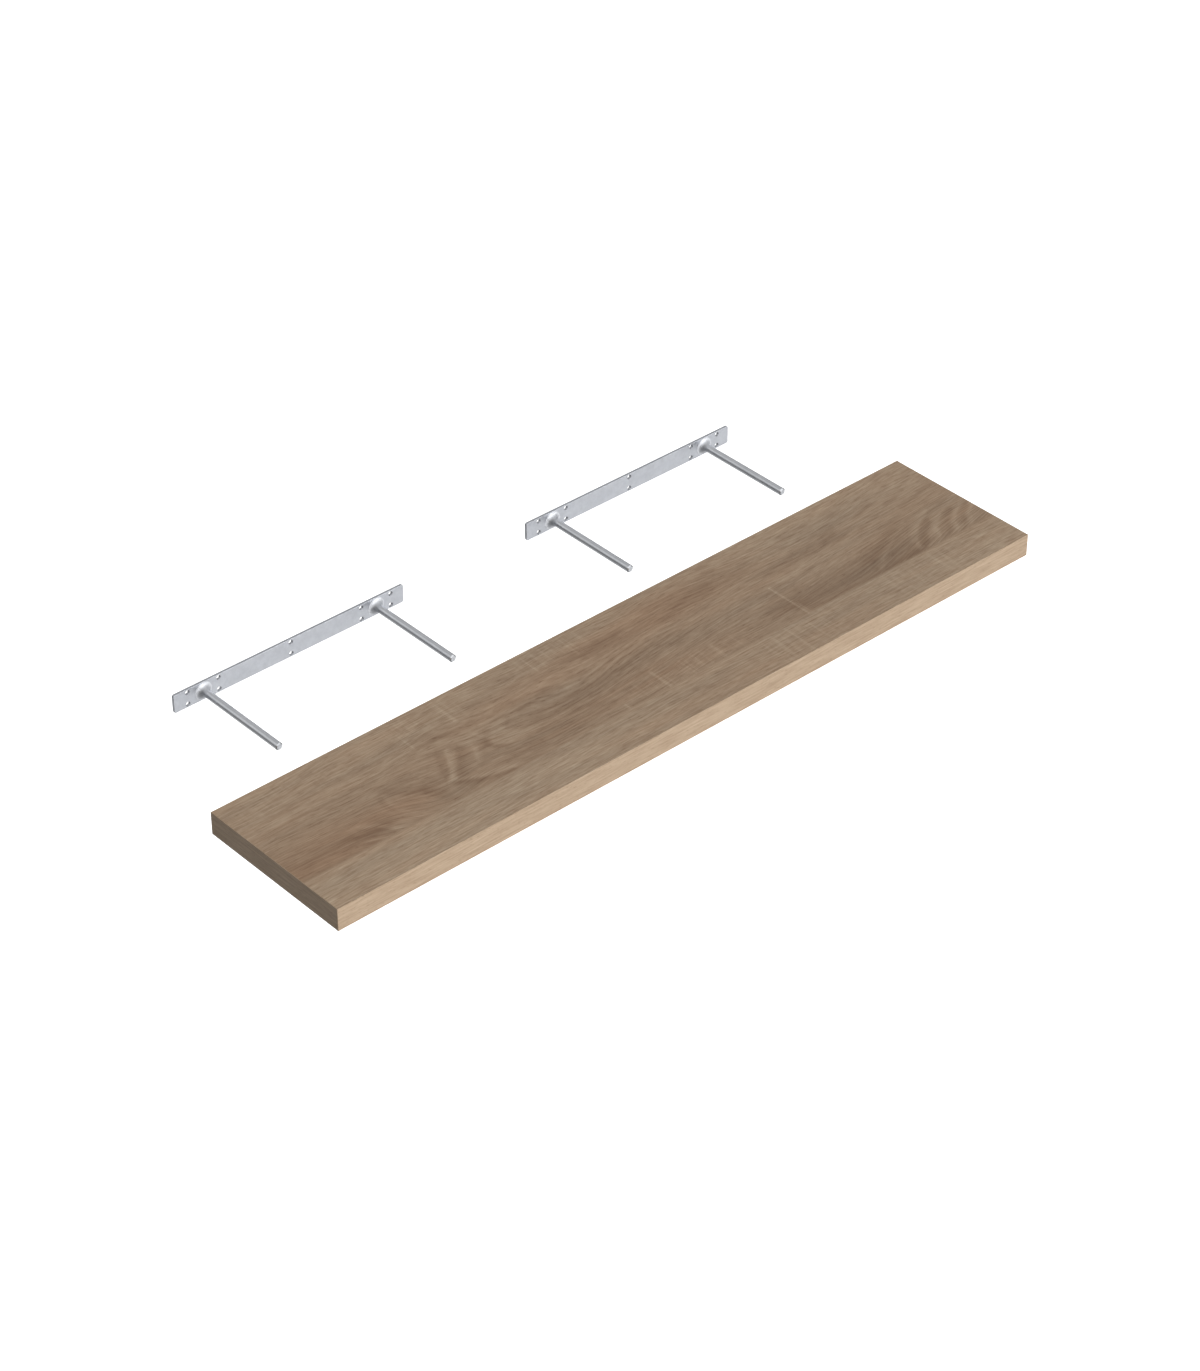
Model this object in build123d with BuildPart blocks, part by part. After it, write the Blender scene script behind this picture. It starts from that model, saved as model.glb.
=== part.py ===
"""Floating wall shelf, drawn pulled forward off its two concealed rod brackets.

Frame: millimetres, +X along the shelf to the right, +Y into the wall, +Z up. The wall is the
plane Y = 0. The origin lies on it, midway along the shelf, at the height of the rods' axes,
which is also the middle of the shelf's thickness.
"""

from build123d import *
from math import sqrt
import os

# --- Driving dimensions ---------------------------------------------------------------------

# Shelf board, outside sizes
shelf_length = 1200.0
shelf_depth = 250.0
shelf_thickness = 34.0
pull_off = 232.0                # how far the shelf's back stands in front of the wall

# Hollow-core construction
skin_thickness = 2.5
band_thickness = 1.0
band_round = 0.5
back_rail_depth = 50.0
front_rail_depth = 40.0
end_rail_width = 30.0
rod_rail_width = 44.0
centre_rail_width = 30.0
cell_width = 24.0               # paper honeycomb, across the flats of a cell
cell_wall = 0.8

# Bracket plates
plate_length = 380.0
plate_height = 28.0
plate_thickness = 4.0
plate_corner = 3.0
plate_edge_round = 0.4
plate_centre = 299.0            # from the middle of the shelf to the middle of a plate
screw_hole_radius = 3.25
screw_hole_edge = 0.3
screw_row_gap = 18.0            # between the upper and the lower row of screw holes
screw_to_rod = 25.0             # each rod has a column of screw holes this far to either side

# Bracket rods
rod_gap = 286.0                 # between the two rods of one bracket
rod_reach = 161.0               # from the plate's front face to the rod's tip
rod_radius = 5.5
rod_tip_chamfer = 1.5
flare_radius = 13.5             # the forged root, where it meets the plate
flare_length = 9.0
flare_rim = 0.3
spigot_radius = 3.5             # the riveted end, through the plate
rivet_depth = 1.5

# Room for a bracket in the shelf's back
recess_depth = 8.0              # plate and screw heads
recess_end_gap = 2.0
bore_radius = 5.75
mouth_radius = 12.0
mouth_depth = 20.0              # clears the rod's flared root
bore_end_gap = 5.0              # beyond the rod's tip when the shelf is home

# --- Derived dimensions ---------------------------------------------------------------------

core_height = shelf_thickness - 2 * skin_thickness
core_length = shelf_length - 2 * band_thickness
core_depth = shelf_depth - band_thickness
skin_height = (core_height + skin_thickness) / 2

shelf_back = pull_off
back_rail_front = shelf_back + back_rail_depth
front_rail_back = shelf_back + core_depth - front_rail_depth
bay_depth = front_rail_back - back_rail_front
bore_end = shelf_back + plate_thickness + rod_reach + bore_end_gap

plates = {"left": -plate_centre, "right": plate_centre}
rods = {
    "left_outer": -plate_centre - rod_gap / 2,
    "left_inner": -plate_centre + rod_gap / 2,
    "right_inner": plate_centre - rod_gap / 2,
    "right_outer": plate_centre + rod_gap / 2,
}


def facing_front(x, distance, z=0.0):
    """Plane parallel to the wall, a distance in front of it, facing into the room."""
    return Plane(origin=(x, -distance, z), x_dir=(1, 0, 0), z_dir=(0, -1, 0))


def save(piece, name):
    """Label a finished piece and write it to its own file."""
    piece.part.label = name
    export_step(piece.part, f"parts/{name}.step")


# --- Brackets -------------------------------------------------------------------------------


def make_plate(name, x):
    """Flat steel bar with rounded corners, riveted to two rods and pierced for wall screws."""
    screw_columns = [0.0]
    for rod in (-rod_gap / 2, rod_gap / 2):
        screw_columns += [rod - screw_to_rod, rod + screw_to_rod]
    screw_spots = [
        (column, row)
        for column in screw_columns
        for row in (-screw_row_gap / 2, screw_row_gap / 2)
    ]
    with BuildPart() as plate:
        with BuildSketch(facing_front(x, 0)):
            RectangleRounded(plate_length, plate_height, plate_corner)
            with GridLocations(rod_gap, 0, 2, 1):
                Circle(spigot_radius, mode=Mode.SUBTRACT)
            with Locations(*screw_spots):
                Circle(screw_hole_radius, mode=Mode.SUBTRACT)
        extrude(amount=plate_thickness)

        # Countersinks in the back, which the rods' ends are riveted into
        rings = plate.edges().filter_by(GeomType.CIRCLE)
        spigot_rings = rings.filter_by(lambda ring: abs(ring.radius - spigot_radius) < 0.01)
        chamfer(spigot_rings.group_by(Axis.Y)[-1], length=rivet_depth)

        # Edges broken by tumbling: the outline on both faces, the screw holes on the front
        for face in (plate.faces().sort_by(Axis.Y)[0], plate.faces().sort_by(Axis.Y)[-1]):
            fillet(face.outer_wire().edges(), plate_edge_round)
        rings = plate.edges().filter_by(GeomType.CIRCLE)
        screw_rings = rings.filter_by(lambda ring: abs(ring.radius - screw_hole_radius) < 0.01)
        chamfer(screw_rings.group_by(Axis.Y)[0], length=screw_hole_edge)
    save(plate, name)


def make_rod(name, x):
    """Round steel rod: chamfered tip, trumpet-shaped forged root and a riveted spigot."""
    tip = -plate_thickness - rod_reach
    flare_end = -plate_thickness - flare_length
    with BuildPart() as rod:
        with BuildSketch(Plane(origin=(x, 0, 0))):
            with BuildLine():
                Polyline(
                    (0, tip),
                    (0, 0),
                    (spigot_radius + rivet_depth, 0),
                    (spigot_radius, -rivet_depth),
                    (spigot_radius, -plate_thickness),
                    (flare_radius, -plate_thickness),
                    (flare_radius, -plate_thickness - flare_rim),
                )
                EllipticalCenterArc(
                    (flare_radius, flare_end),
                    x_radius=flare_radius - rod_radius,
                    y_radius=flare_length - flare_rim,
                    start_angle=90,
                    arc_size=90,
                )
                Polyline(
                    (rod_radius, flare_end),
                    (rod_radius, tip + rod_tip_chamfer),
                    (rod_radius - rod_tip_chamfer, tip),
                    (0, tip),
                )
            make_face()
        revolve(axis=Axis((x, 0, 0), (0, 1, 0)))
    save(rod, name)


# --- Shelf board ----------------------------------------------------------------------------


def make_board(name, x, back, width, depth, height=core_height, z=0.0):
    """Plain square-edged board, placed by its middle and by its back's distance to the wall."""
    with BuildPart() as board:
        with BuildSketch(facing_front(x, back, z)):
            Rectangle(width, height)
        extrude(amount=depth)
    save(board, name)


def make_back_rail():
    """Rail along the back, notched for the two plates and drilled in steps for the rods."""
    recess_floor = shelf_back + recess_depth
    with BuildPart() as back_rail:
        with BuildSketch(facing_front(0, shelf_back)):
            Rectangle(core_length, core_height)
        extrude(amount=back_rail_depth)
        with BuildSketch(facing_front(0, shelf_back)):
            with Locations(*[(x, 0) for x in plates.values()]):
                Rectangle(plate_length + 2 * recess_end_gap, core_height)
        extrude(amount=recess_depth, mode=Mode.SUBTRACT)
        with BuildSketch(facing_front(0, recess_floor)):
            with Locations(*[(x, 0) for x in rods.values()]):
                Circle(mouth_radius)
        extrude(amount=mouth_depth, mode=Mode.SUBTRACT)
        with BuildSketch(facing_front(0, recess_floor)):
            with Locations(*[(x, 0) for x in rods.values()]):
                Circle(bore_radius)
        extrude(amount=back_rail_depth, mode=Mode.SUBTRACT)
    save(back_rail, "back_rail")


def make_rod_rail(name, x):
    """Cross rail from back rail to front rail, with a blind bore that a rod slides into."""
    with BuildPart() as rod_rail:
        with BuildSketch(facing_front(x, back_rail_front)):
            Rectangle(rod_rail_width, core_height)
        extrude(amount=bay_depth)
        with BuildSketch(facing_front(x, back_rail_front)):
            Circle(bore_radius)
        extrude(amount=bore_end - back_rail_front, mode=Mode.SUBTRACT)
    save(rod_rail, name)


def make_honeycomb(name, x_start, x_end):
    """Expanded paper honeycomb that fills one bay of the frame, cells upright."""
    width = x_end - x_start
    column_pitch = cell_width * sqrt(3) / 2
    columns = int(width / column_pitch) + 2
    rows = int(bay_depth / cell_width) + 2
    middle = ((x_start + x_end) / 2, -(back_rail_front + front_rail_back) / 2, -core_height / 2)
    with BuildPart() as honeycomb:
        with BuildSketch(Plane(origin=middle)):
            Rectangle(width, bay_depth)
            with HexLocations(cell_width / 2, columns, rows):
                RegularPolygon(
                    (cell_width - cell_wall) / 2, 6, major_radius=False, mode=Mode.SUBTRACT
                )
        extrude(amount=core_height)
    save(honeycomb, name)


def make_edge_band(name, plane, width):
    """Thin plastic edge strip, glued on, its outer edges scraped to a small round."""
    with BuildPart() as band:
        with BuildSketch(plane):
            Rectangle(width, shelf_thickness)
        extrude(amount=band_thickness)
        outer = band.faces().filter_by(plane).sort_by(Axis(plane.origin, plane.z_dir))[-1]
        fillet(outer.edges(), band_round)
    save(band, name)


def make_shelf():
    """Frame of rails and honeycomb between two skins, closed by edge bands on three sides."""
    for name, side in (("top_skin", 1), ("bottom_skin", -1)):
        make_board(
            name, 0, shelf_back, core_length, core_depth, skin_thickness, side * skin_height
        )
    make_back_rail()
    make_board("front_rail", 0, front_rail_back, core_length, front_rail_depth)

    end_rail_x = (core_length - end_rail_width) / 2
    make_board("left_end_rail", -end_rail_x, back_rail_front, end_rail_width, bay_depth)
    make_board("right_end_rail", end_rail_x, back_rail_front, end_rail_width, bay_depth)
    make_board("centre_rail", 0, back_rail_front, centre_rail_width, bay_depth)
    for name, x in rods.items():
        make_rod_rail(f"{name}_rod_rail", x)

    # The bays lie between neighbouring cross rails
    cross_rails = [(-end_rail_x, end_rail_width), (0.0, centre_rail_width)]
    cross_rails += [(end_rail_x, end_rail_width)]
    cross_rails += [(x, rod_rail_width) for x in rods.values()]
    cross_rails.sort()
    for number, (left, right) in enumerate(zip(cross_rails, cross_rails[1:]), start=1):
        bay_start = left[0] + left[1] / 2
        bay_end = right[0] - right[1] / 2
        make_honeycomb(f"honeycomb_{number}", bay_start, bay_end)

    make_edge_band("front_band", facing_front(0, shelf_back + core_depth), shelf_length)
    side_middle = -shelf_back - core_depth / 2
    for name, side in (("left_band", -1), ("right_band", 1)):
        plane = Plane(
            origin=(side * core_length / 2, side_middle, 0), x_dir=(0, side, 0), z_dir=(side, 0, 0)
        )
        make_edge_band(name, plane, core_depth)


os.makedirs("parts", exist_ok=True)
for side, x in plates.items():
    make_plate(f"{side}_plate", x)
for name, x in rods.items():
    make_rod(f"{name}_rod", x)
make_shelf()
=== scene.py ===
"""Looks of the floating wall shelf: hollow-core board in sawn-oak decor, two zinc-plated rod brackets."""

import math

import bpy
import numpy as np
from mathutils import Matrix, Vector


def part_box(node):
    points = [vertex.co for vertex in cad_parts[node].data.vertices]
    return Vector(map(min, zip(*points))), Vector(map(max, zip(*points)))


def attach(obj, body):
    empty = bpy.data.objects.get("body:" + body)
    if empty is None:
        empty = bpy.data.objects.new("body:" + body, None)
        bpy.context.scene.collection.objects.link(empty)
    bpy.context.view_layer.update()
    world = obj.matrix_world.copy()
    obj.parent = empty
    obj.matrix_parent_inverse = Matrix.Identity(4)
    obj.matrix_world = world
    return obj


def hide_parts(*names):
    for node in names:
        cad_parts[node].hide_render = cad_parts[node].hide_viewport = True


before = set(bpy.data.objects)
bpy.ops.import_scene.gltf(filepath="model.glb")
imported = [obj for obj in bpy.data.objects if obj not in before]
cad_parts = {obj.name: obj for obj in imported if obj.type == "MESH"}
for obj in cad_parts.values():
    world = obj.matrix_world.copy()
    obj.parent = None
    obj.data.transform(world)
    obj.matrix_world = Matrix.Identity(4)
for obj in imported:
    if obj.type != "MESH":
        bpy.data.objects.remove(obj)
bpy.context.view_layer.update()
scene = bpy.context.scene
scene.view_settings.view_transform = "Standard"

# --- Frame of the board -----------------------------------------------------------------------
# Rails of raw chipboard, sawn and butted, glued between the two skins. Only the back rail shows,
# notched for the bracket plates and drilled for the rods. The CAD shapes stay.

MM = 0.001
CHIP_COLOURS = ("#9c8167", "#c4aa8e", "#d6c1a6", "#e8dac6")   # dark bark to pale softwood
COARSE_CHIP = 3.2 * MM
FINE_CHIP = 1.1 * MM
FINE_CHIP_SHARE = 0.45           # of the colour
CHIP_GAP = 1.1 * MM              # between the pits, which are darkened with painted shade
CHIP_SHAPE = (0.45, 0.8, 1.0)    # 1 over length, breadth and thickness of a chip, in chip sizes


def linear(hex_colour):
    """An sRGB hex colour as linear RGBA: each channel is c / 12.92 up to 0.04045, and
    ((c + 0.055) / 1.055) ^ 2.4 above."""
    channels = [int(hex_colour[i:i + 2], 16) / 255 for i in (1, 3, 5)]
    return (*[c / 12.92 if c <= 0.04045 else ((c + 0.055) / 1.055) ** 2.4 for c in channels], 1.0)


def add(tree, kind, inputs=(), out=0, stops=(), **settings):
    """Adds one shader node: sets its properties and its colour stops, sets or links its inputs, and returns
    one of its outputs. A stop is a place and a hex colour or a grey number."""
    made = tree.nodes.new("ShaderNode" + kind)
    for name, value in settings.items():
        setattr(made, name, value)
    for _ in stops[2:]:
        made.color_ramp.elements.new(0.5)
    for number, (place, colour) in enumerate(stops):
        stop = made.color_ramp.elements[number]
        stop.position = place
        stop.color = linear(colour) if isinstance(colour, str) else (colour, colour, colour, 1)
    for key, value in dict(inputs).items():
        if isinstance(value, bpy.types.NodeSocket):
            tree.links.new(value, made.inputs[key])
        else:
            made.inputs[key].default_value = value
    return made.outputs[out] if made.outputs else None


def empty_material(name):
    """A node material with nothing in it yet."""
    material = bpy.data.materials.new(name)
    material.use_nodes = True
    material.node_tree.nodes.clear()
    return material, material.node_tree


def chipboard():
    """Raw chipboard, pressed from softwood chips and sawn: flat chips of mixed browns, lying lengthways."""
    material, tree = empty_material("raw_chipboard")
    place = add(tree, "TexCoord", out="Object")
    tints = []
    for size in (COARSE_CHIP, FINE_CHIP):
        stretched = add(tree, "Mapping", {"Vector": place, "Scale": [share / size for share in CHIP_SHAPE]})
        jitter = add(tree, "TexNoise", {"Vector": stretched, "Scale": 1.7, "Detail": 2.0}, out="Color")
        moved = add(tree, "VectorMath", {0: stretched, 1: jitter}, operation="ADD")
        chips = add(tree, "TexVoronoi", {"Vector": moved, "Scale": 1.0}, out="Color")
        tone = add(tree, "SeparateColor", {"Color": chips})
        stops = list(zip((0.0, 0.35, 0.7, 1.0), CHIP_COLOURS))
        tints.append(add(tree, "ValToRGB", {"Fac": tone}, stops=stops))
    chips = add(tree, "Mix", {"Factor": FINE_CHIP_SHARE, "A": tints[0], "B": tints[1]}, out="Result",
                data_type="RGBA")
    # Pits between the chips: the bump dents them, and their colour is darkened as painted shade in the
    # hollows
    gaps = add(tree, "TexNoise", {"Vector": place, "Scale": 1 / CHIP_GAP, "Detail": 3.0})
    painted_pit_shade = add(tree, "ValToRGB", {"Fac": gaps}, stops=((0.30, 0.68), (0.42, 1.0)))
    colour = add(tree, "Mix", {"Factor": 1.0, "A": chips, "B": painted_pit_shade}, out="Result",
                 data_type="RGBA", blend_type="MULTIPLY")
    bump = add(tree, "Bump", {"Height": gaps, "Strength": 0.5, "Distance": 0.3 * MM})
    board = add(tree, "BsdfPrincipled", {"Base Color": colour, "Normal": bump, "Roughness": 0.85})
    add(tree, "OutputMaterial", {"Surface": board})
    return material


def paint(node_name, material):
    """Gives a CAD node one material, in place of the one it came with."""
    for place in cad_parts[node_name].material_slots:
        place.material = material


raw_chipboard = chipboard()
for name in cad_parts:
    if name.endswith("_rail"):
        paint(name, raw_chipboard)

# --- Paper core -------------------------------------------------------------------------------
# Expanded kraft-paper honeycomb, one sheet in each bay, glued on edge between the skins.
# It is hidden in the closed board.

PAPER_FIBRE = (3.3 * MM, 3.3 * MM, 0.7 * MM)   # fleck along, across and up; coarser than real fibre


def kraft_paper():
    """Brown kraft paper: long fibres in a warm brown, matt."""
    material, tree = empty_material("kraft_paper")
    place = add(tree, "TexCoord", out="Object")
    fibres = add(tree, "Mapping", {"Vector": place, "Scale": [1 / size for size in PAPER_FIBRE]})
    fleck = add(tree, "TexNoise", {"Vector": fibres, "Scale": 1.0, "Detail": 4.0})
    colour = add(tree, "ValToRGB", {"Fac": fleck}, stops=((0.3, "#8c6b45"), (0.7, "#b8946a")))
    paper = add(tree, "BsdfPrincipled", {"Base Color": colour, "Roughness": 0.9})
    add(tree, "OutputMaterial", {"Surface": paper})
    return material


brown_paper = kraft_paper()
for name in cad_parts:
    if name.startswith("honeycomb"):
        paint(name, brown_paper)

# --- Skins ------------------------------------------------------------------------------------
# Thin hardboard faced with melamine decor paper, pressed on. The paper prints two staves of
# rough-sawn oak, a narrow straight-grained one along the front and a figured one behind it.

DECOR_COLOURS = ("#6f5442", "#96785e", "#b69a7f", "#cdb599", "#e3d1b9")   # dark ring to pale saw mark
GREY_TINT = "#f2f9ff"           # what the greyer and the redder places are multiplied by
RED_TINT = "#fff2ea"
EDGE_BAND = 1 * MM              # the skins stop short of the board's edges by the bands' thickness
STAVE_JOINT = 67 * MM           # from the front edge to the line between the two staves
RING_GAP = 7 * MM
GRID_STEPS = (2.5 * MM, 3 * MM)   # between points along and across the board
SAW_GAP = 6.7 * MM              # between the close saw marks
SAW_LENGTH = 83 * MM
BOARD_FIBRE = (2 * MM, 2 * MM, 0.4 * MM)   # fleck size along, across and up; coarser than real fibre
# Streaks of the print: length and width in mm, and detail. The pores are coarser than real ones, to show.
GRAIN_LAYERS = {
    "broad": (250, 28, 2.0),
    "streak": (83, 4.1, 5.0),
    "fine": (28, 2.2, 3.0),
    "pore": (14, 1.3, 1.0),
}
BROAD_SHARE, STREAK_SHARE, FINE_SHARE = 0.24, 0.45, 0.75   # how much of each the printed tone takes
MIDDLE_TONE = 0.52

# Where the rings swell round a figure, in mm: its middle along and across the board, half its
# length, half its width, and how many rings it shifts there
FIGURES = (
    (-20, 82, 190, 36, -5.0),
    (480, 126, 185, 50, 5.2),
    (1290, 52, 235, 78, -15.0),
    (236, 62, 60, 48, 3.2),
    (930, 205, 140, 34, 2.5),
)
# Drawn lines of the figure, in mm: their points along and across the board, half width, and how
# much lighter or darker they are
GRAIN_LINES = (
    (((0, 82), (90, 82), (140, 84)), 14, -0.14),
    (((0, 95), (100, 96)), 2.5, -0.05),
    (((0, 69), (150, 70)), 2.5, -0.06),
    (((100, 88), (138, 82)), 7, -0.06),
    (((118, 104), (136, 92), (144, 80), (152, 69)), 3, 0.14),
    (((20, 99), (70, 100), (112, 104)), 2.5, 0.07),
    (((170, 131), (166, 116), (172, 100)), 3.5, -0.07),
    (((176, 127), (172, 112), (178, 97), (188, 86)), 3, 0.05),
    (((185, 136), (203, 120), (222, 104)), 7, -0.09),
    (((222, 104), (229, 90), (243, 72)), 5, -0.09),
    (((190, 92), (214, 84), (232, 74)), 9, -0.07),
    (((236, 94), (256, 82), (276, 73)), 11, -0.09),
    (((335, 69), (312, 72), (290, 80), (262, 96)), 3.5, -0.16),
    (((266, 101), (295, 85), (320, 76), (340, 72)), 2.5, 0.10),
    (((294, 152), (282, 129), (268, 109), (257, 100)), 3.5, 0.15),
    (((281, 156), (272, 136), (262, 119)), 5, -0.1),
    (((308, 146), (300, 130), (286, 116), (277, 107)), 6, -0.14),
    (((316, 153), (328, 142), (322, 126), (314, 112)), 4, 0.13),
    (((333, 131), (322, 118), (312, 105)), 5, -0.10),
    (((350, 144), (342, 129), (350, 116)), 5, -0.14),
    (((345, 153), (354, 137), (351, 123), (364, 114), (385, 109)), 4, 0.11),
    (((372, 140), (384, 124)), 12, 0.09),
    (((392, 151), (383, 138), (397, 127), (432, 120), (520, 117)), 3, -0.1),
    (((403, 137), (450, 133), (520, 134), (594, 136)), 3, -0.12),
    (((418, 158), (450, 162), (492, 158)), 3, -0.1),
    (((430, 149), (480, 149)), 7, -0.05),
    (((360, 108), (480, 106), (600, 110)), 2.5, -0.1),
    (((350, 97), (470, 99), (560, 101)), 2.5, -0.09),
    (((340, 86), (450, 84), (520, 86)), 4, -0.1),
    (((360, 76), (470, 74)), 6, -0.07),
    (((420, 126), (540, 124), (640, 126)), 2.5, -0.07),
    (((540, 112), (620, 114), (720, 112)), 2.5, -0.06),
    (((400, 92), (540, 90), (640, 93)), 2.5, -0.07),
    (((520, 140), (600, 142), (690, 138)), 9, -0.06),
    (((560, 86), (640, 84), (760, 82), (840, 80)), 8, -0.05),
    (((0, 167), (130, 169), (250, 168)), 2.5, -0.07),
    (((0, 174), (110, 175), (240, 172)), 2.5, 0.07),
    (((40, 190), (160, 194), (300, 190)), 3, -0.06),
    (((280, 178), (420, 172), (520, 170)), 4, -0.08),
    (((370, 195), (480, 192), (570, 196), (620, 198)), 7, -0.09),
    (((560, 190), (640, 182), (700, 186), (780, 188)), 11, -0.1),
    (((690, 218), (760, 208), (835, 192)), 17, -0.09),
    (((870, 165), (960, 168), (1010, 164)), 8, -0.1),
    (((975, 170), (1005, 178)), 2.5, -0.13),
    (((985, 182), (1012, 189)), 2.5, -0.11),
    (((1040, 161), (1078, 168)), 2.5, -0.14),
    (((1060, 188), (1092, 195)), 2.5, -0.10),
    (((1108, 180), (1150, 191)), 3, -0.10),
    (((1120, 160), (1190, 176)), 3, -0.1),
    (((850, 86), (920, 84), (990, 82), (1060, 77)), 16, -0.19),
    (((850, 70), (1000, 69), (1075, 70)), 3, -0.10),
    (((995, 98), (1040, 112), (1085, 128)), 9, -0.12),
    (((998, 78), (1018, 95), (1050, 112), (1092, 131)), 3.5, 0.1),
    (((1068, 74), (1076, 92), (1102, 115), (1137, 133)), 3.5, 0.11),
    (((1110, 80), (1120, 98), (1150, 118), (1196, 134)), 3.5, 0.12),
    (((1142, 76), (1150, 92), (1178, 112), (1199, 122)), 3, 0.10),
    (((1166, 72), (1180, 92), (1199, 104)), 3, 0.08),
    (((1085, 77), (1095, 95), (1120, 112)), 6, -0.12),
    (((1128, 78), (1140, 95), (1165, 112)), 6, -0.12),
    (((1158, 78), (1170, 92), (1190, 105)), 4, -0.12),
    (((870, 142), (920, 147), (970, 151)), 4, 0.07),
    (((900, 118), (980, 132), (1050, 150)), 12, 0.05),
    (((1200, 250), (0, 250)), 18, 0.07),
    (((480, 200), (0, 200)), 16, 0.04),
    (((1200, 205), (900, 205)), 16, 0.03),
    (((0, 67), (1200, 67)), 2.5, -0.05),
    (((1200, 30), (0, 30)), 90, 0.07),
    (((420, 40), (0, 44)), 14, 0.05),
    (((300, 16), (0, 14)), 9, 0.03),
    (((900, 42), (620, 40)), 14, -0.05),
    (((900, 16), (520, 16)), 14, -0.04),
    (((1200, 140), (0, 140)), 30, -0.03),
    (((1199, 18), (1060, 20)), 10, 0.04),
)
# Where the print is redder or greyer, in mm: middle along and across, half length, half width, warmth.
# Greyer is below 0.
WARM_PATCHES = (
    (100, 100, 150, 34, 1.0), (700, 196, 190, 28, 1.0), (640, 98, 150, 22, 0.5), (350, 175, 120, 14, 0.5),
    (255, 84, 32, 18, -1.2), (470, 148, 80, 14, -0.8), (770, 128, 150, 20, -0.7), (965, 88, 120, 24, -1.4),
    (960, 200, 170, 34, -0.5), (250, 45, 260, 18, -0.3), (850, 45, 120, 14, -0.5),
)
# Single marks of the saw, in mm: place along the board, both ends across it, and how much lighter
SAW_MARKS = (
    (269, 183, 219, 0.14), (290, 212, 244, 0.11), (345, 194, 244, 0.16), (494, 206, 241, 0.12),
    (508, 205, 238, 0.12), (558, 200, 242, 0.15), (528, 67, 76, 0.14), (600, 67, 108, 0.24),
    (643, 67, 100, 0.14), (698, 68, 98, 0.13), (847, 67, 142, 0.26), (851, 68, 90, 0.12),
)
# Patches of close saw marks, in mm: middle along and across, half length, half width, strength
SAWN_PATCHES = (
    (800, 30, 66, 30, 0.9), (1060, 32, 130, 30, 0.55), (650, 84, 90, 18, 0.7), (525, 226, 70, 18, 0.7),
    (320, 226, 70, 20, 0.5), (90, 220, 80, 25, 0.35),
)


def in_half_sizes(along, across, middle, offset, half_length, half_width):
    """The place from a patch's middle, over the patch's half sizes, which are in mm."""
    return (along / MM - middle) / half_length, (across / MM - offset) / half_width


def ring_count(along, across):
    """Growth rings counted across the board: the distance from the front edge over the ring gap, plus for
    each figure its shift times exp(-a^2 - b^2), plus two slow waves. The front stave is straight-grained and
    has a count of its own."""
    rings = across / RING_GAP
    for *patch, shift in FIGURES:
        a, b = in_half_sizes(along, across, *patch)
        rings = rings + shift * np.exp(-a ** 2 - b ** 2)
    rings = rings + 0.35 * np.sin(along / (83 * MM) + across / (30 * MM))
    rings = rings + 0.2 * np.sin(along / (31 * MM) - across / (17 * MM))
    straight = 60 + across / RING_GAP + 0.3 * np.sin(along / (210 * MM) + 2.0)
    return np.where(across < STAVE_JOINT, straight, rings)


def figure_tone(along, across):
    """How much lighter or darker the print is: for each drawn line its amount times exp(-(d / width)^2), with
    d the distance to the nearest of its straight runs. As in a growth ring, one side is sharp and the other
    fades slowly: the width is 0.8 half widths to the right of the line's direction and 2 to its left. A saw
    mark is as sharp on both sides."""
    place = np.stack([along, across], -1) / MM
    tone = np.zeros(len(place))
    lines = [(line, half_width, 2.0, amount) for line, half_width, amount in GRAIN_LINES]
    lines += [(((x, y0), (x, y1)), 2.0, 0.8, amount) for x, y0, y1, amount in SAW_MARKS]
    for line, half_width, soft_side, amount in lines:
        nearest = np.full(len(place), np.inf)
        width = np.full(len(place), half_width)
        for start, end in zip(np.array(line[:-1], float), np.array(line[1:], float)):
            run = end - start
            away = place - start
            share = np.clip(away @ run / (run @ run), 0, 1)
            distance = np.linalg.norm(away - share[:, None] * run, axis=1)
            on_left = run[0] * away[:, 1] > run[1] * away[:, 0]
            width = np.where(distance < nearest, np.where(on_left, soft_side, 0.8) * half_width, width)
            nearest = np.minimum(nearest, distance)
        in_front = line[0][1] < STAVE_JOINT / MM
        same_stave = (across < STAVE_JOINT) == in_front
        tone += same_stave * amount * np.exp(-(nearest / width) ** 2)
    return tone


def figured_strength(along, across):
    """How plainly the rings show: strong inside each figure of the back stave, as its shift / 8 times
    exp(-(a^2 + b^2) / 1.6), and no more than 1 in all."""
    strength = np.zeros(len(along))
    for *patch, shift in FIGURES:
        a, b = in_half_sizes(along, across, *patch)
        strength += abs(shift) / 8 * np.exp(-(a ** 2 + b ** 2) / 1.6)
    return np.minimum(strength, 1.0) * (across > STAVE_JOINT)


def warmth(along, across):
    """How much redder than usual the print is: the sum of each patch's warmth times exp(-a^2 - b^2)."""
    warm = np.zeros(len(along))
    for *patch, most in WARM_PATCHES:
        a, b = in_half_sizes(along, across, *patch)
        warm += most * np.exp(-a ** 2 - b ** 2)
    return warm


def sawn_strength(along, across):
    """How strong the close saw marks are: faint everywhere, plus each patch's strength times
    exp(-a^4 - b^4), kept to its own stave."""
    strength = np.full(len(along), 0.12)
    for *patch, most in SAWN_PATCHES:
        a, b = in_half_sizes(along, across, *patch)
        same_stave = (across < STAVE_JOINT) == (patch[1] < STAVE_JOINT / MM)
        strength += most * np.exp(-a ** 4 - b ** 4) * same_stave
    return strength


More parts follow.
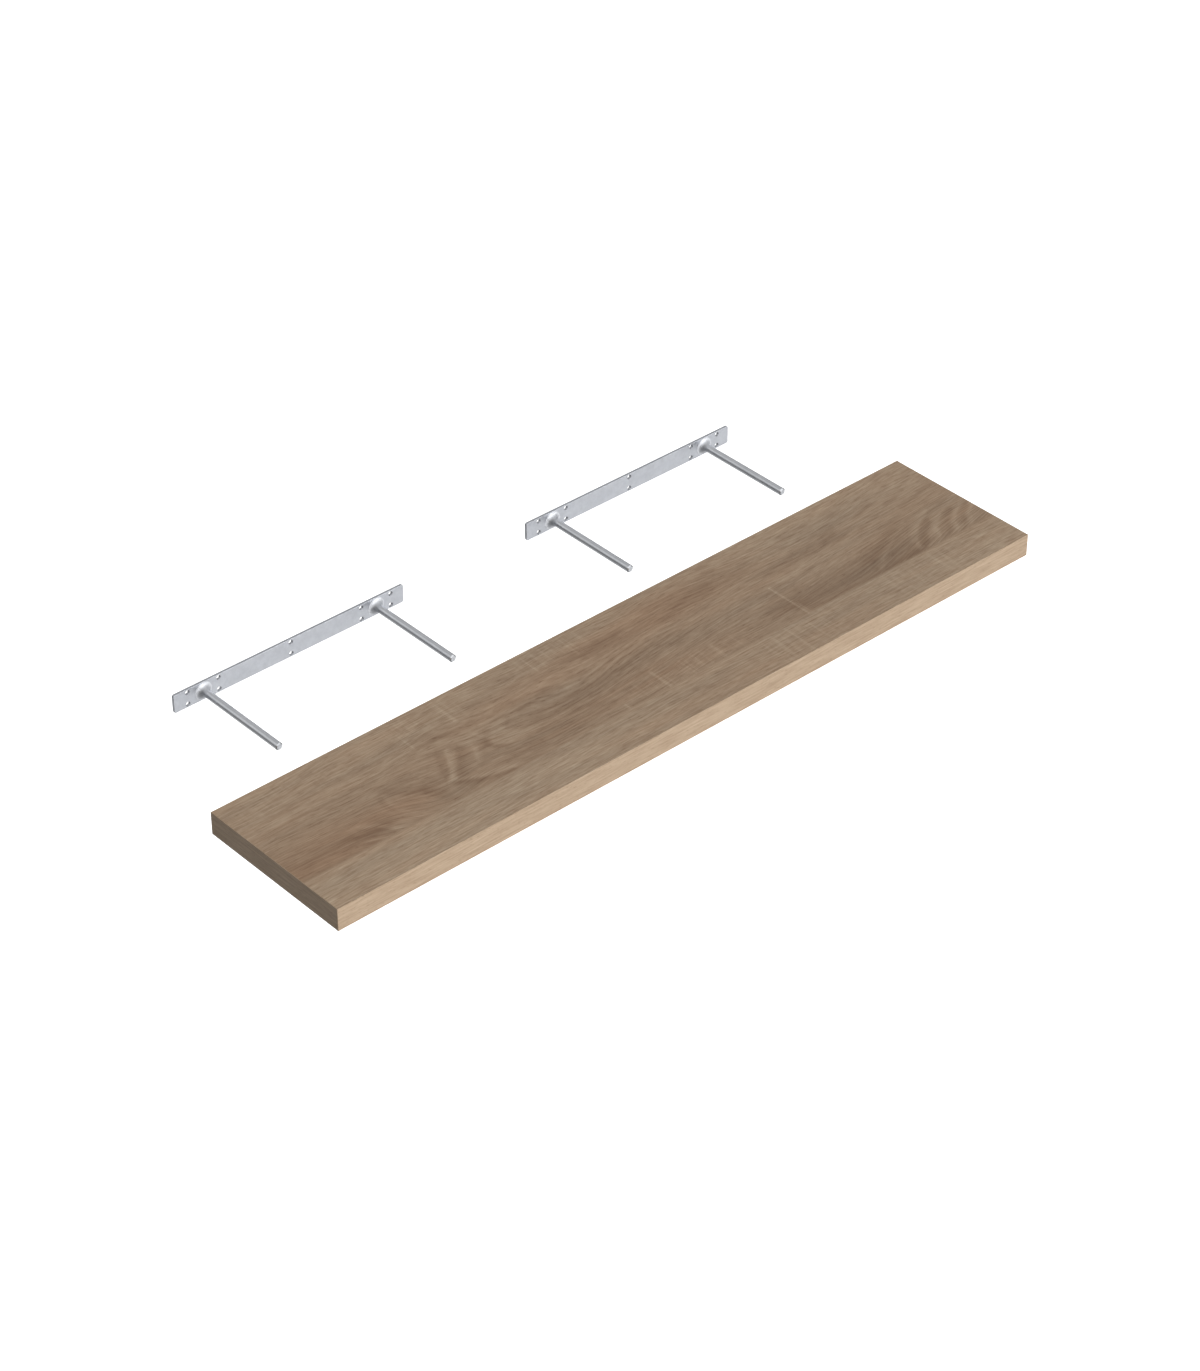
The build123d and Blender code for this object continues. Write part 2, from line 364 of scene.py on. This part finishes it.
def decor_board(name, node, face_up):
    """A closed flat board over its CAD box: its top and bottom are the same grid of points, joined round the
    rim. Material 0 is the decor face and material 1 the bare board. The lower print is turned round."""
    low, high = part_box(node)
    columns = round((high.x - low.x) / GRID_STEPS[0]) + 1
    rows = round((high.y - low.y) / GRID_STEPS[1]) + 1
    x, y = np.meshgrid(np.linspace(low.x, high.x, columns), np.linspace(low.y, high.y, rows))
    points = np.concatenate([np.stack([x, y, np.full_like(x, z)], -1).reshape(-1, 3)
                             for z in (high.z, low.z)])
    index = np.arange(columns * rows).reshape(rows, columns)
    top = np.stack([index[:-1, :-1], index[:-1, 1:], index[1:, 1:], index[1:, :-1]], -1).reshape(-1, 4)
    bottom = top[:, ::-1] + columns * rows
    rim = np.concatenate([index[0, :], index[1:, -1], index[-1, -2::-1], index[-2:0:-1, 0]])
    ahead = np.roll(rim, -1)
    sides = np.stack([rim + columns * rows, ahead + columns * rows, ahead, rim], -1)
    mesh = bpy.data.meshes.new(name)
    mesh.from_pydata(points, [], np.concatenate([top, bottom, sides]).tolist())
    along = points[:, 0] - low.x + EDGE_BAND
    across = points[:, 1] - low.y + EDGE_BAND
    if not face_up:
        along = along.max() - along
        across = across.max() - across
    for label, rule in (("rings", ring_count), ("tone", figure_tone), ("figured", figured_strength),
                        ("warm", warmth), ("sawn", sawn_strength)):
        kept = mesh.attributes.new(label, "FLOAT", "POINT")
        kept.data.foreach_set("value", rule(along, across).astype(np.float32))
    face_material = np.ones(len(mesh.polygons), np.int32)
    first = 0 if face_up else len(top)
    face_material[first:first + len(top)] = 0
    mesh.polygons.foreach_set("material_index", face_material)
    piece = bpy.data.objects.new(name, mesh)
    scene.collection.objects.link(piece)
    return piece


def sawn_oak_decor():
    """Melamine decor paper printed with rough-sawn oak, matt with a fine wood emboss: soft brown streaks that
    follow the rings, short dark pores along the grain, and pale saw marks across it."""
    material, tree = empty_material("sawn_oak_melamine")
    place = add(tree, "TexCoord", out="Object")
    along = add(tree, "SeparateXYZ", {"Vector": place}, out="X")
    height = add(tree, "SeparateXYZ", {"Vector": place}, out="Z")
    rings, tone, figured, warm, sawn = [add(tree, "Attribute", out="Fac", attribute_name=label)
                                        for label in ("rings", "tone", "figured", "warm", "sawn")]
    grain = add(tree, "CombineXYZ", {"X": along, "Y": rings, "Z": height})
    layers = {}
    for label, (length, width, detail) in GRAIN_LAYERS.items():
        scale = (1 / (length * MM), RING_GAP / (width * MM), 1.0)
        stretched = add(tree, "Mapping", {"Vector": grain, "Scale": scale})
        layers[label] = add(tree, "TexNoise", {"Vector": stretched, "Scale": 1.0, "Detail": detail,
                                               "Roughness": 0.6})
    saw_space = add(tree, "Mapping", {"Vector": place, "Scale": (1 / SAW_GAP, 1 / SAW_LENGTH, 1.0)})
    saw = add(tree, "TexNoise", {"Vector": saw_space, "Scale": 1.0, "Detail": 1.0})
    saw_line = add(tree, "MapRange", {"Value": saw, "From Min": 0.46, "From Max": 0.74, "To Min": 0.0,
                                      "To Max": 0.13})
    break_up = add(tree, "MapRange", {"Value": layers["fine"], "From Min": 0.3, "From Max": 0.7,
                                      "To Min": 0.55, "To Max": 1.35})
    pore = add(tree, "MapRange", {"Value": layers["pore"], "From Min": 0.62, "From Max": 0.72, "To Min": 0.0,
                                  "To Max": -0.17})
    # Each ring darkens slowly and ends sharply
    wandering = add(tree, "Math", {0: layers["streak"], 1: 1.1, 2: rings}, operation="MULTIPLY_ADD")
    phase = add(tree, "Math", {0: wandering}, operation="FRACT")
    ring_shade = add(tree, "ValToRGB", {"Fac": phase},
                     stops=((0.0, 0.5), (0.12, 1.0), (0.85, 0.0), (1.0, 0.5)))
    ring_shade = add(tree, "Math", {0: ring_shade, 1: 0.5}, operation="SUBTRACT")
    ring_strength = add(tree, "Math", {0: figured, 1: 0.08, 2: 0.03}, operation="MULTIPLY_ADD")
    # The printed tone: 0.5 is the middle of the five colours, and a noise is 0.5 on average
    tone_sum = MIDDLE_TONE - 0.5 * (BROAD_SHARE + STREAK_SHARE + FINE_SHARE)
    for value, amount in ((layers["broad"], BROAD_SHARE), (layers["streak"], STREAK_SHARE),
                          (layers["fine"], FINE_SHARE), (tone, break_up), (ring_shade, ring_strength),
                          (saw_line, sawn), (pore, 1.0)):
        tone_sum = add(tree, "Math", {0: value, 1: amount, 2: tone_sum}, operation="MULTIPLY_ADD")
    wood = add(tree, "ValToRGB", {"Fac": tone_sum},
               stops=list(zip((0.0, 0.25, 0.5, 0.75, 1.0), DECOR_COLOURS)))
    # The tint: 0 is greyest, 1 is reddest
    tint_place = add(tree, "Math", {0: layers["broad"], 1: 0.8, 2: 0.5 - 0.8 * 0.5}, operation="MULTIPLY_ADD")
    tint_place = add(tree, "Math", {0: warm, 1: 0.25, 2: tint_place}, operation="MULTIPLY_ADD")
    tint = add(tree, "ValToRGB", {"Fac": tint_place},
               stops=((0.0, GREY_TINT), (0.5, "#ffffff"), (1.0, RED_TINT)))
    colour = add(tree, "Mix", {"Factor": 1.0, "A": wood, "B": tint}, out="Result", data_type="RGBA",
                 blend_type="MULTIPLY")
    relief = add(tree, "Math", {0: pore, 1: 6.0, 2: layers["fine"]}, operation="MULTIPLY_ADD")
    bump = add(tree, "Bump", {"Height": relief, "Strength": 0.35, "Distance": 0.1 * MM})
    gloss = add(tree, "MapRange", {"Value": layers["fine"], "From Min": 0.3, "From Max": 0.7, "To Min": 0.44,
                                   "To Max": 0.58})
    paper = add(tree, "BsdfPrincipled", {"Base Color": colour, "Normal": bump, "Roughness": gloss,
                                         "Specular IOR Level": 0.35})
    add(tree, "OutputMaterial", {"Surface": paper})
    return material


def hardboard():
    """Hardboard pressed from wood fibre: an even brown with a short fibre fleck, matt."""
    material, tree = empty_material("hardboard")
    place = add(tree, "TexCoord", out="Object")
    fibre = add(tree, "Mapping", {"Vector": place, "Scale": [1 / size for size in BOARD_FIBRE]})
    fleck = add(tree, "TexNoise", {"Vector": fibre, "Scale": 1.0, "Detail": 3.0})
    colour = add(tree, "ValToRGB", {"Fac": fleck}, stops=((0.3, "#6b5038"), (0.7, "#94734f")))
    board = add(tree, "BsdfPrincipled", {"Base Color": colour, "Roughness": 0.8})
    add(tree, "OutputMaterial", {"Surface": board})
    return material


decor = sawn_oak_decor()
brown_hardboard = hardboard()
for name, node, face_up in (("top_face_board", "top_skin", True),
                            ("bottom_face_board", "bottom_skin", False)):
    board = decor_board(name, node, face_up)
    board.data.materials.append(decor)
    board.data.materials.append(brown_hardboard)
    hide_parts(node)
    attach(board, "shelf")

# --- Edge bands -------------------------------------------------------------------------------
# ABS edge strip, printed with a plain light oak grain along its length, glued on hot and scraped flush.

BAND_COLOURS = ("#a48b72", "#b8a086", "#c8b197")
STRIP_STREAK = (2.4 * MM, 45 * MM, 4.0)   # width, length and detail of the printed streaks
STRIP_PORE = (1.3 * MM, 6 * MM, 1.0)       # the same for its pores, coarser than real ones, to show


def oak_edge_strip(name, length_axis):
    """Extruded ABS strip with a printed oak grain, satin: an even light brown with faint long streaks and a
    few short dark pores."""
    material, tree = empty_material(name)
    place = add(tree, "TexCoord", out="Object")
    layers = []
    for width, length, detail in (STRIP_STREAK, STRIP_PORE):
        scale = [1 / width] * 3
        scale[length_axis] = 1 / length
        stretched = add(tree, "Mapping", {"Vector": place, "Scale": scale})
        layers.append(add(tree, "TexNoise", {"Vector": stretched, "Scale": 1.0, "Detail": detail}))
    streak, pore = layers
    pore = add(tree, "MapRange", {"Value": pore, "From Min": 0.6, "From Max": 0.72, "To Min": 0.0,
                                  "To Max": -0.38})
    tone = add(tree, "Math", {0: streak, 1: 1.8, 2: 0.5 - 1.8 * 0.5}, operation="MULTIPLY_ADD")
    tone = add(tree, "Math", {0: tone, 1: pore}, operation="ADD")
    colour = add(tree, "ValToRGB", {"Fac": tone}, stops=list(zip((0.0, 0.5, 1.0), BAND_COLOURS)))
    bump = add(tree, "Bump", {"Height": streak, "Strength": 0.25, "Distance": 0.15 * MM})
    strip = add(tree, "BsdfPrincipled", {"Base Color": colour, "Normal": bump, "Roughness": 0.48,
                                         "Specular IOR Level": 0.35})
    add(tree, "OutputMaterial", {"Surface": strip})
    return material


long_strip = oak_edge_strip("oak_print_abs_front", 0)
short_strip = oak_edge_strip("oak_print_abs_side", 1)
paint("front_band", long_strip)
paint("left_band", short_strip)
paint("right_band", short_strip)

# --- Brackets ---------------------------------------------------------------------------------
# Wall plates cut from rolled steel strip, and rods from drawn bar with a forged flare at the root,
# riveted into the plates and then bright zinc plated together.

STRIP_COLOURS = ("#c4c7cd", "#d0d3d9")   # cloudy to clear
BAR_COLOURS = ("#dbdee3", "#e7e9ed")
CLOUD = 9 * MM                  # size of a cloudy patch in the plating
LINE_LENGTH = 40 * MM
LINE_WIDTH = 0.7 * MM           # rolling and drawing lines, coarser than real ones, to show
SMOOTH_FROM = 17 * MM           # from the wall: past this the bar is smooth as drawn
ROUGH_TO = 13 * MM              # and nearer than this it is as rough as the forged root
GLOSS_SPREAD = 0.25             # how far the lines change the roughness


def bright_zinc(name, colours, line_axis, roughness, root_roughness):
    """Bright zinc plating on rolled or drawn steel: pale, faintly blue metal, a little cloudy from the bath,
    with fine lines along the direction of rolling or drawing. Near the wall it is as rough as the forging."""
    material, tree = empty_material(name)
    place = add(tree, "TexCoord", out="Object")
    cloud = add(tree, "TexNoise", {"Vector": place, "Scale": 1 / CLOUD, "Detail": 5.0, "Roughness": 0.65})
    colour = add(tree, "ValToRGB", {"Fac": cloud}, stops=list(zip((0.32, 0.68), colours)))
    scale = [1 / LINE_WIDTH] * 3
    scale[line_axis] = 1 / LINE_LENGTH
    lines = add(tree, "Mapping", {"Vector": place, "Scale": scale})
    scratch = add(tree, "TexNoise", {"Vector": lines, "Scale": 1.0, "Detail": 3.0})
    off_wall = add(tree, "SeparateXYZ", {"Vector": place}, out="Y")
    base = add(tree, "MapRange", {"Value": off_wall, "From Min": -SMOOTH_FROM, "From Max": -ROUGH_TO,
                                  "To Min": roughness - GLOSS_SPREAD / 2,
                                  "To Max": root_roughness - GLOSS_SPREAD / 2},
               interpolation_type="SMOOTHSTEP")
    gloss = add(tree, "Math", {0: scratch, 1: GLOSS_SPREAD, 2: base}, operation="MULTIPLY_ADD")
    relief = add(tree, "Math", {0: cloud, 1: 0.8, 2: scratch}, operation="MULTIPLY_ADD")
    bump = add(tree, "Bump", {"Height": relief, "Strength": 0.2, "Distance": 0.05 * MM})
    zinc = add(tree, "BsdfPrincipled", {"Base Color": colour, "Normal": bump, "Roughness": gloss,
                                        "Metallic": 1.0})
    add(tree, "OutputMaterial", {"Surface": zinc})
    return material


rolled_zinc = bright_zinc("zinc_plated_strip", STRIP_COLOURS, 0, 0.40, 0.40)
drawn_zinc = bright_zinc("zinc_plated_bar", BAR_COLOURS, 1, 0.34, 0.58)
for side in ("left", "right"):
    paint(f"{side}_plate", rolled_zinc)
    for place in ("outer", "inner"):
        paint(f"{side}_{place}_rod", drawn_zinc)

# --- Studio -----------------------------------------------------------------------------------
# A wide white floor well below the shelf, a white surround with broad soft lamps, and the camera.

FLOOR_DROP = 5.0                # metres below the shelf, so that it can be seen from below
FLOOR_HALF = 40.0
SURROUND = 0.04                 # light from everywhere
# Each broad lamp: the direction it stands in, its strength, and how narrow it is
LAMPS = (
    ((0.3, -1, 0.1), 4.2, 8),         # key, in front
    ((-0.4, -0.8, 0.4), 1.5, 30),     # small highlight, up to the front left
    ((0, 1, 0), 0.35, 5),             # fill behind, above and below
    ((0, 0, 1), 0.4, 4),
    ((0, 0, -1), 0.25, 9),
    ((1, 1, 1), 0.4, 5),              # four equal fills on the right
    ((1, -1, 1), 0.4, 5),
    ((1, 1, -1), 0.4, 5),
    ((1, -1, -1), 0.4, 5),
    ((-0.8, 1, 0.8), 0.8, 12),        # three on the left, the weakest in front
    ((-0.5, 1, -1), 0.5, 10),
    ((-0.7, -0.7, -0.6), 0.25, 14),
)

floor_mesh = bpy.data.meshes.new("floor")
corners = np.array([(-1, -1), (1, -1), (1, 1), (-1, 1)]) * FLOOR_HALF
floor_mesh.from_pydata([(x, y, -FLOOR_DROP) for x, y in corners], [], [(0, 1, 2, 3)])
floor = bpy.data.objects.new("floor", floor_mesh)
scene.collection.objects.link(floor)
floor_paint, tree = empty_material("white_floor")
place = add(tree, "TexCoord", out="Object")
wear = add(tree, "TexNoise", {"Vector": place, "Scale": 3.0, "Detail": 3.0})
colour = add(tree, "ValToRGB", {"Fac": wear}, stops=((0.3, "#f4f4f3"), (0.7, "#fbfbfa")))
paper = add(tree, "BsdfPrincipled", {"Base Color": colour, "Roughness": 0.9, "Emission Color": (1, 1, 1, 1),
                                     "Emission Strength": 1.0})
add(tree, "OutputMaterial", {"Surface": paper})
floor_mesh.materials.append(floor_paint)
floor.visible_diffuse = False
floor.visible_glossy = False
floor.visible_shadow = False

world = bpy.data.worlds.new("studio")
scene.world = world
world.use_nodes = True
tree = world.node_tree
tree.nodes.clear()
look = add(tree, "TexCoord", out="Generated")
light = SURROUND
for direction, strength, narrow in LAMPS:
    facing = add(tree, "VectorMath", {0: look, 1: Vector(direction).normalized()}, out="Value",
                 operation="DOT_PRODUCT")
    facing = add(tree, "Math", {0: facing, 1: 0.0}, operation="MAXIMUM")
    lobe = add(tree, "Math", {0: facing, 1: narrow}, operation="POWER")
    light = add(tree, "Math", {0: lobe, 1: strength, 2: light}, operation="MULTIPLY_ADD")
seen = add(tree, "LightPath", out="Is Camera Ray")
level = add(tree, "Mix", {"Factor": seen, "A": light, "B": 1.0}, out="Result")
shine = add(tree, "Background", {"Color": (1, 1, 1, 1), "Strength": level})
add(tree, "OutputWorld", {"Surface": shine})

# The camera stands back from a point near the board's middle: turned from straight ahead, raised, and
# its distance in metres
CAMERA_AZIMUTH = math.radians(-41.74)
CAMERA_ELEVATION = math.radians(36.17)
CAMERA_DISTANCE = 4.6425
LENS_MM = 95.26
aim = Vector((-0.0791, -0.3662, 0.0293))
back = Vector((math.sin(CAMERA_AZIMUTH) * math.cos(CAMERA_ELEVATION),
               -math.cos(CAMERA_AZIMUTH) * math.cos(CAMERA_ELEVATION), math.sin(CAMERA_ELEVATION)))
lens = bpy.data.cameras.new("camera")
lens.lens = LENS_MM
camera = bpy.data.objects.new("camera", lens)
camera.location = aim + back * CAMERA_DISTANCE
camera.rotation_mode = "QUATERNION"
camera.rotation_quaternion = (-back).to_track_quat("-Z", "Y")
scene.collection.objects.link(camera)
scene.camera = camera
